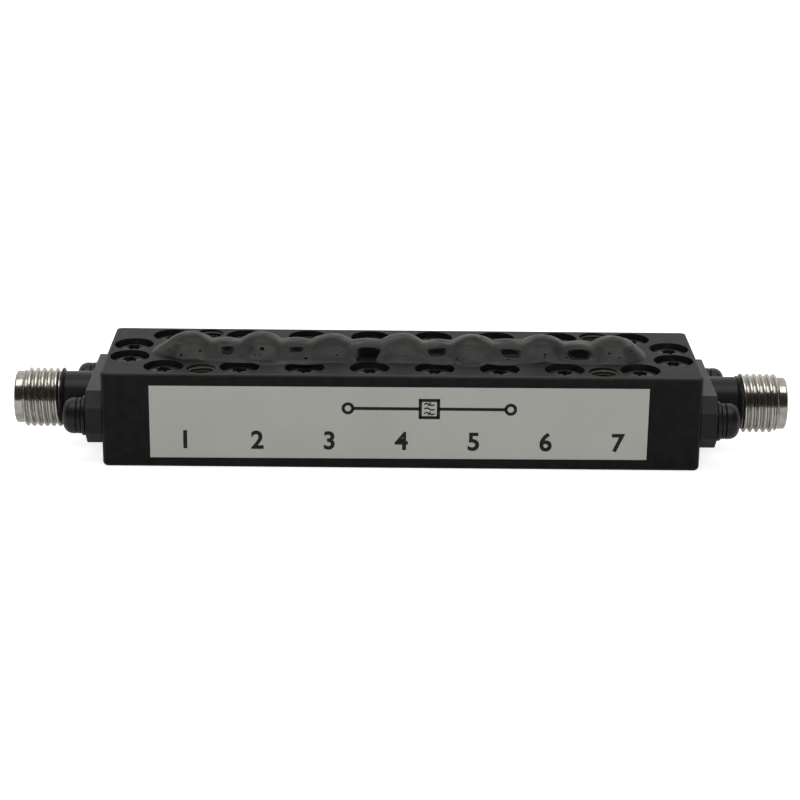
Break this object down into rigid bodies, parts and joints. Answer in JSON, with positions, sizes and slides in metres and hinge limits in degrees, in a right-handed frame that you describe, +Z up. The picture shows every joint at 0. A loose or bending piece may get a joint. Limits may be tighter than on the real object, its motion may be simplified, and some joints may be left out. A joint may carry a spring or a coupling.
{
  "type": "rf bandpass filter",
  "caption": "Slim black box filter with a screwed cover, a sealed ridge of tuning screws, a side label and a threaded coaxial jack on each end.",
  "frame": {"origin": "centre of the body's footprint, on its underside", "axes": "+X along the body through both jacks, +Z up through the cover, label on the face at -Y"},
  "size_m": [0.083, 0.0165, 0.0125],
  "materials": {
    "body_paint": "fine matt black paint on milled aluminium",
    "screw_paint": "steel screws painted over in satin black",
    "sealant": "satin black sealant, self-levelled over the screws",
    "label_film": "matt grey-white label film",
    "jack_steel": "passivated stainless steel, turned; flange and neck painted black",
    "ptfe": "white PTFE",
    "gold": "gold plating on a copper alloy",
    "brass": "plain turned brass"
  },
  "bodies": {
    "root": {"housing": "body_paint", "cover": "body_paint", "cover_screw_01": "screw_paint", "cover_screw_02": "screw_paint", "cover_screw_03": "screw_paint", "cover_screw_04": "screw_paint", "cover_screw_05": "screw_paint", "cover_screw_06": "screw_paint", "cover_screw_07": "screw_paint", "cover_screw_08": "screw_paint", "cover_screw_09": "screw_paint", "cover_screw_10": "screw_paint", "cover_screw_11": "screw_paint", "cover_screw_12": "screw_paint", "cover_screw_13": "screw_paint", "cover_screw_14": "screw_paint", "cover_screw_15": "screw_paint", "cover_screw_16": "screw_paint", "cover_screw_17": "screw_paint", "cover_screw_18": "screw_paint", "cover_screw_19": "screw_paint", "cover_screw_20": "screw_paint", "tuning_screw_1": "brass", "tuning_screw_2": "brass", "tuning_screw_3": "brass", "tuning_screw_4": "brass", "tuning_screw_5": "brass", "tuning_screw_6": "brass", "tuning_screw_7": "brass", "tuning_nut_1": "brass", "tuning_nut_2": "brass", "tuning_nut_3": "brass", "tuning_nut_4": "brass", "tuning_nut_5": "brass", "tuning_nut_6": "brass", "tuning_nut_7": "brass", "coupling_screw_1": "brass", "coupling_screw_2": "brass", "coupling_screw_3": "brass", "coupling_screw_4": "brass", "coupling_screw_5": "brass", "coupling_screw_6": "brass", "coupling_nut_1": "brass", "coupling_nut_2": "brass", "coupling_nut_3": "brass", "coupling_nut_4": "brass", "coupling_nut_5": "brass", "coupling_nut_6": "brass", "tuning_sealant": "sealant", "label": "label_film", "left_jack_shell": "jack_steel", "left_insulator": "ptfe", "left_contact": "gold", "left_flange_screw_front": "screw_paint", "left_flange_screw_rear": "screw_paint", "right_jack_shell": "jack_steel", "right_insulator": "ptfe", "right_contact": "gold", "right_flange_screw_front": "screw_paint", "right_flange_screw_rear": "screw_paint"}
  },
  "joints": []
}
